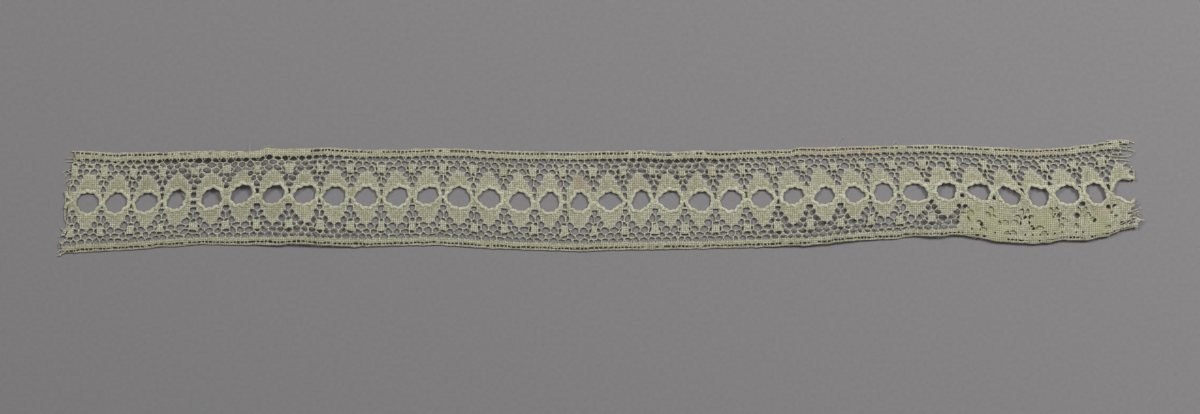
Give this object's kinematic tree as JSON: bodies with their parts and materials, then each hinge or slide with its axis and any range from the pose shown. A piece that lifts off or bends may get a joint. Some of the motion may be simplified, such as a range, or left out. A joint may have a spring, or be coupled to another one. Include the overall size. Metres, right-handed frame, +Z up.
{
  "type": "lace trim",
  "caption": "Narrow cotton bobbin-lace insertion with a row of round ribbon holes between mesh bands, torn at both ends, lying flat over a scrap of the same lace.",
  "frame": {"origin": "middle of the footprint, on the surface that the lace lies on", "axes": "+X along the strip, +Y across it towards the edge with the pulled step, +Z up out of its right side"},
  "size_m": [0.3588, 0.0386, 0.0027],
  "materials": {
    "lace_cotton": "matte ecru cotton thread, bobbin worked",
    "scrap_cotton": "matte yellowed cotton thread, bobbin worked"
  },
  "bodies": {
    "root": {"lace_strip": "lace_cotton", "backing_patch": "scrap_cotton"}
  },
  "joints": []
}
